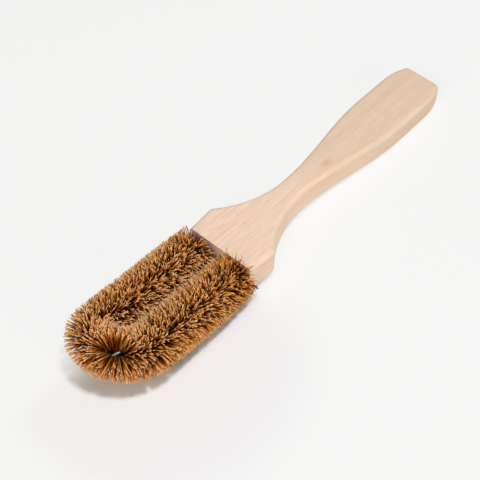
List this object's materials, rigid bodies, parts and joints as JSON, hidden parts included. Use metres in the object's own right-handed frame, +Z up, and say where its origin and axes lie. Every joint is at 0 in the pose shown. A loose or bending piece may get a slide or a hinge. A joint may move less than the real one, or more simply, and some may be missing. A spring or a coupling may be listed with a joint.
{
  "type": "dish brush",
  "caption": "Dish brush with a flat waisted wooden handle and a loop of twisted-in-wire coir bristles set in its front end.",
  "frame": {"origin": "centre of the object's box, on the surface that the bristles stand on", "axes": "+X along the handle from the loop of bristles to the handle's free end, +Z up from the handle's level underside, +Y to the side of the loop's tighter bend"},
  "size_m": [0.2568, 0.0531, 0.0309],
  "materials": {
    "handle_wood": "sanded, bare",
    "core_wire": "galvanised",
    "coir": "stiff plant fibre"
  },
  "bodies": {
    "root": {"handle": "handle_wood", "core_wire_a": "core_wire", "core_wire_b": "core_wire", "bristles_far_leg": "coir", "bristles_crown": "coir", "bristles_near_leg": "coir"}
  },
  "joints": []
}
